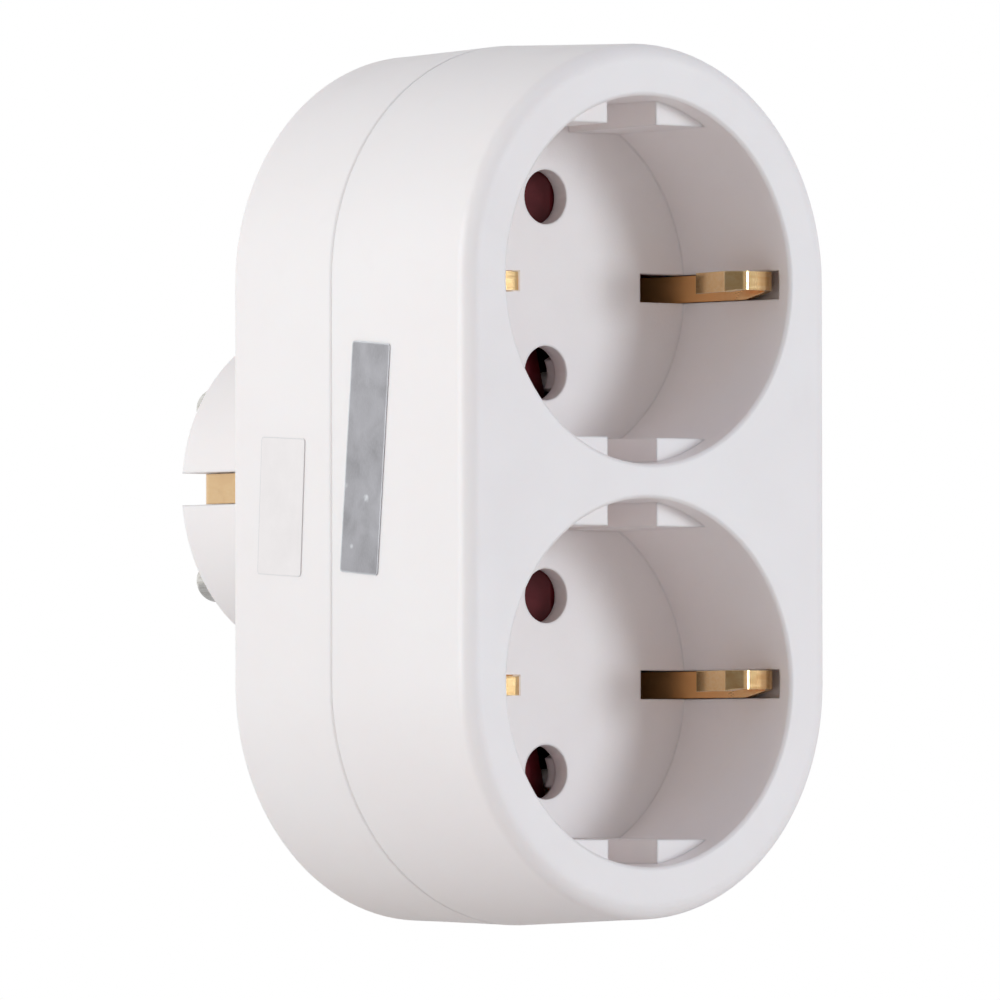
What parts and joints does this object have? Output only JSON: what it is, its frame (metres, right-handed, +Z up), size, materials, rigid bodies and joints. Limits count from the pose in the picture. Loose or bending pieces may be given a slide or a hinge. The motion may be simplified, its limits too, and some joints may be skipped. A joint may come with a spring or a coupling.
{
  "type": "multi socket adapter",
  "caption": "Upright plug-in adapter with rounded ends, round earthed sockets with shutters on the front and a round earthed plug on the back.",
  "frame": {"origin": "centre of the plug's end face, which meets the floor of the wall socket", "axes": "+Y along the plug's pins into the wall, +Z up along the row of sockets, +X to the right as seen from the front"},
  "size_m": [0.0519, 0.077, 0.095],
  "materials": {
    "white_plastic": "satin",
    "red_plastic": "satin",
    "cover_plastic": "matte",
    "brass": "satin",
    "nickel": "polished",
    "steel": "satin",
    "foil": "satin",
    "paper": "matte"
  },
  "bodies": {
    "housing": {"front_housing": "white_plastic", "rear_housing": "white_plastic", "shutter_spring_upper": "steel", "shutter_spring_lower": "steel", "shutter_retainers": "steel", "earth_bracket_upper": "brass", "earth_bracket_lower": "brass", "earth_link": "brass", "earth_rivets": "brass", "plug_earth_strap": "brass", "live_busbar": "brass", "neutral_busbar": "brass", "busbar_cover": "cover_plastic", "plug_pin_upper": "nickel", "plug_pin_lower": "nickel", "housing_screws": "steel", "foil_label": "foil", "paper_label": "paper"},
    "upper_shutter": {"shutter_upper": "red_plastic"},
    "lower_shutter": {"shutter_lower": "red_plastic"}
  },
  "joints": [
    {"name": "upper_shutter_turn", "type": "hinge", "parent": "housing", "child": "upper_shutter", "pos_m": [0, -0.036, 0.0215], "axis": [0, 1, 0], "range_deg": [0, 38], "stiffness_Nm_per_rad": 0.001, "springref_deg": -17.19, "deforming": ["shutter_spring_upper"]},
    {"name": "lower_shutter_turn", "type": "hinge", "parent": "housing", "child": "lower_shutter", "pos_m": [0, -0.036, -0.0215], "axis": [0, 1, 0], "range_deg": [0, 38], "stiffness_Nm_per_rad": 0.001, "springref_deg": -17.19, "deforming": ["shutter_spring_lower"]}
  ]
}
